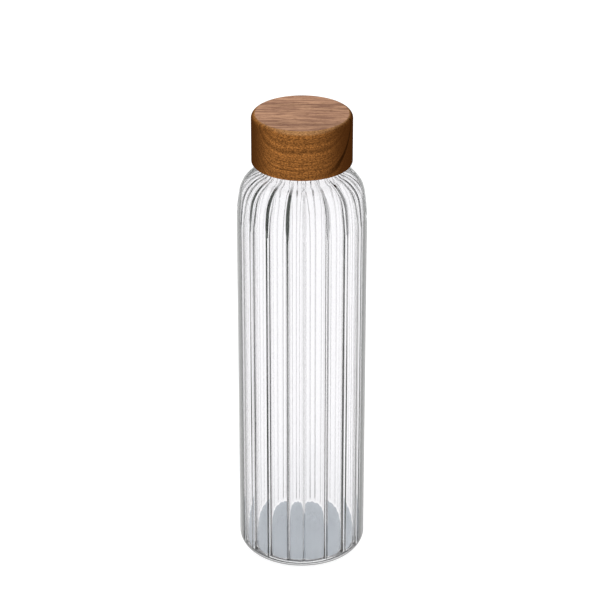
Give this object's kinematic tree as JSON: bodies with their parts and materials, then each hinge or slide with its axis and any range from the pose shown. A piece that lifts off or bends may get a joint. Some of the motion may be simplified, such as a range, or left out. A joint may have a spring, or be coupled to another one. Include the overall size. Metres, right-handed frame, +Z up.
{
  "type": "glass water bottle",
  "caption": "Clear glass water bottle with fluted inner walls, a rounded shoulder, a short threaded neck and a turned wooden screw cap.",
  "frame": {"origin": "centre of the base, on the surface that the bottle stands on", "axes": "+Z up along the bottle's axis, towards the cap; the wood grain runs along X; -Y faces the usual viewer"},
  "size_m": [0.065, 0.065, 0.242],
  "materials": {
    "clear_glass": "clear, smooth outside, fluted inside",
    "acacia": "oiled satin, grain running across the cap",
    "insert_plastic": "natural white polypropylene, fine matte",
    "silicone": "translucent white silicone, soft satin"
  },
  "bodies": {
    "bottle": {"glass_bottle": "clear_glass"},
    "seal": {"sealing_ring": "silicone"},
    "cap": {"wood_cap": "acacia", "thread_insert": "insert_plastic"}
  },
  "joints": [
    {"name": "cap_lift", "type": "slide", "parent": "bottle", "child": "seal", "axis": [0, 0, 1], "range_m": [0, 0.0226]},
    {"name": "cap_turn", "type": "hinge", "parent": "seal", "child": "cap", "pos_m": [0, 0, 0.2298], "axis": [0, 0, 1], "range_deg": [0, 1800]}
  ],
  "couplings": [
    {"joint": "cap_lift", "follows": "cap_turn", "m_per_rad": 0.0007162}
  ]
}
